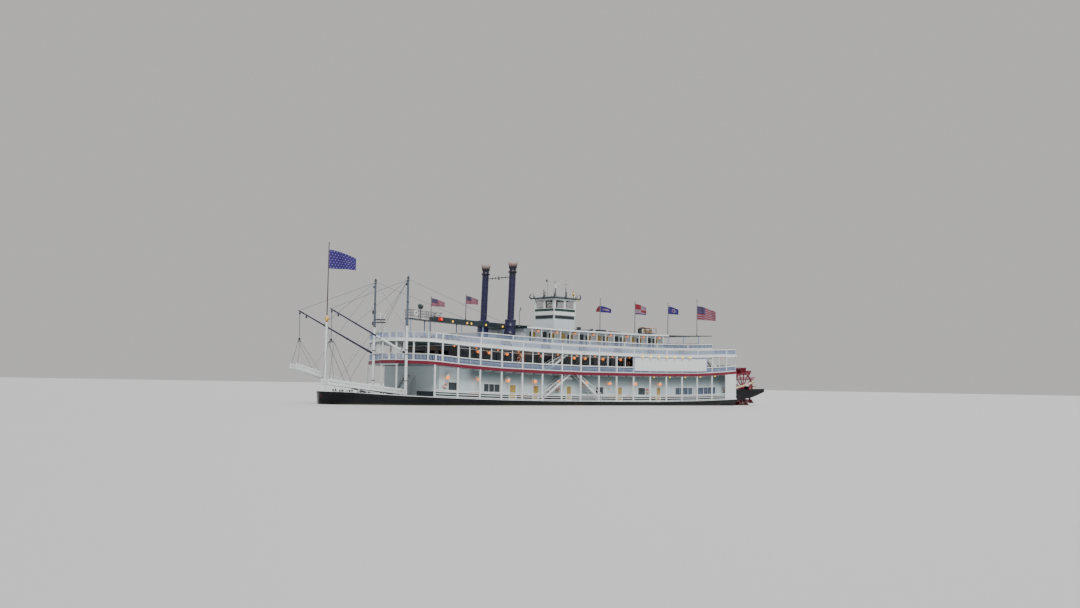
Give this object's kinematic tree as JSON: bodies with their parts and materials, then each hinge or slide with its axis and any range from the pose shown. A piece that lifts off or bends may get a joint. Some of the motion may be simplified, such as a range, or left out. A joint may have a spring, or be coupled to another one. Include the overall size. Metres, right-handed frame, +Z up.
{
  "type": "sternwheel paddle steamer, 1:10 scale model",
  "caption": "Flat-bottomed sternwheel excursion steamer with three open decks, twin stacks, pilothouse, bow booms and stages, and a turning paddle wheel.",
  "frame": {"origin": "on the hull's flat bottom, amidships between the bow's tip and the aft tips of the wheel beams", "axes": "+X to the bow, +Y to port, +Z up; the real waterline is 0.18 m above the flat bottom"},
  "size_m": [8.241, 1.3846, 2.064],
  "materials": {
    "white_paint": "satin white paint",
    "hull_black": "satin black paint",
    "crimson_paint": "satin dark red paint",
    "deck_paint": "worn grey deck paint on planks",
    "teal_paint": "dark teal paint",
    "navy_paint": "satin dark navy paint",
    "wheel_red": "wet red paint",
    "gilt": "gilt",
    "cream_paint": "cream paint on timber",
    "steel": "painted machinery",
    "bunting": "woven flag cloth",
    "window_glass": "clear glass",
    "lamp_glass": "lit warm lamp glass"
  },
  "bodies": {
    "boat": {"hull": "hull_black", "main_deck": "hull_black", "second_deck": "crimson_paint", "third_deck": "white_paint", "main_house_port_wall": "white_paint", "main_house_starboard_wall": "white_paint", "main_house_bow_wall": "white_paint", "main_house_stern_wall": "white_paint", "boilers": "steel", "port_engine": "steel", "starboard_engine": "steel", "main_deck_port_posts": "white_paint", "main_deck_starboard_posts": "white_paint", "front_portal": "white_paint", "second_deck_port_posts": "white_paint", "second_deck_starboard_posts": "white_paint", "third_deck_port_rail": "white_paint", "third_deck_starboard_rail": "white_paint", "second_house_port_wall": "white_paint", "second_house_starboard_wall": "white_paint", "second_house_bow_wall": "white_paint", "second_house_stern_wall": "white_paint", "raised_deck": "deck_paint", "raised_deck_port_rail": "white_paint", "raised_deck_starboard_rail": "white_paint", "texas_port_wall": "white_paint", "texas_starboard_wall": "white_paint", "texas_bow_wall": "white_paint", "texas_stern_wall": "white_paint", "texas_roof": "white_paint", "bridge_walk": "teal_paint", "aft_canopy": "teal_paint", "pilothouse": "white_paint", "pilothouse_roof": "teal_paint", "port_stack": "navy_paint", "starboard_stack": "navy_paint", "stack_spreader": "gilt", "jackstaff": "white_paint", "port_wheel_beam": "hull_black", "starboard_wheel_beam": "hull_black", "port_name_board": "white_paint", "starboard_name_board": "white_paint", "first_flag": "bunting", "second_flag": "bunting", "third_flag": "bunting", "fourth_flag": "bunting", "fifth_flag": "bunting", "sixth_flag": "bunting", "bow_flag": "bunting"},
    "paddle_wheel": {"paddle_wheel": "wheel_red"},
    "port_pitman": {"port_pitman": "cream_paint"},
    "starboard_pitman": {"starboard_pitman": "cream_paint"},
    "port_rudder": {"port_rudder": "hull_black"},
    "starboard_rudder": {"starboard_rudder": "hull_black"},
    "port_mast": {"port_mast": "white_paint", "port_boom": "navy_paint"},
    "starboard_mast": {"starboard_mast": "white_paint", "starboard_boom": "navy_paint"},
    "port_stage": {"port_stage": "white_paint"},
    "starboard_stage": {"starboard_stage": "white_paint"}
  },
  "joints": [
    {"name": "wheel_turn", "type": "hinge", "parent": "boat", "child": "paddle_wheel", "pos_m": [-3.6185, 0, 0.444], "axis": [0, 1, 0], "continuous": true},
    {"name": "port_crank_pin", "type": "hinge", "parent": "paddle_wheel", "child": "port_pitman", "pos_m": [-3.672, 0.496, 0.53666], "axis": [0, 1, 0], "continuous": true},
    {"name": "starboard_crank_pin", "type": "hinge", "parent": "paddle_wheel", "child": "starboard_pitman", "pos_m": [-3.52583, -0.496, 0.4975], "axis": [0, 1, 0], "continuous": true},
    {"name": "port_rudder_stock", "type": "hinge", "parent": "boat", "child": "port_rudder", "pos_m": [-2.8585, 0.23, 0.08], "axis": [0, 0, 1], "range_deg": [-35, 35]},
    {"name": "starboard_rudder_stock", "type": "hinge", "parent": "boat", "child": "starboard_rudder", "pos_m": [-2.8585, -0.23, 0.08], "axis": [0, 0, 1], "range_deg": [-35, 35]},
    {"name": "port_mast_swing", "type": "hinge", "parent": "boat", "child": "port_mast", "pos_m": [3.0615, 0.33, 0.8], "axis": [0, 0, 1], "range_deg": [-8, 88]},
    {"name": "starboard_mast_swing", "type": "hinge", "parent": "boat", "child": "starboard_mast", "pos_m": [3.0615, -0.33, 0.8], "axis": [0, 0, -1], "range_deg": [-8, 88]},
    {"name": "port_stage_heel", "type": "hinge", "parent": "port_mast", "child": "port_stage", "pos_m": [3.1035, 0.33, 0.31], "axis": [0, -1, 0], "range_deg": [0, 20]},
    {"name": "starboard_stage_heel", "type": "hinge", "parent": "starboard_mast", "child": "starboard_stage", "pos_m": [3.1035, -0.33, 0.31], "axis": [0, -1, 0], "range_deg": [-6, 14]}
  ],
  "couplings": [
    {"joint": "port_crank_pin", "follows": "wheel_turn", "ratio": -1},
    {"joint": "starboard_crank_pin", "follows": "wheel_turn", "ratio": -1},
    {"joint": "starboard_rudder_stock", "follows": "port_rudder_stock", "ratio": 1}
  ]
}
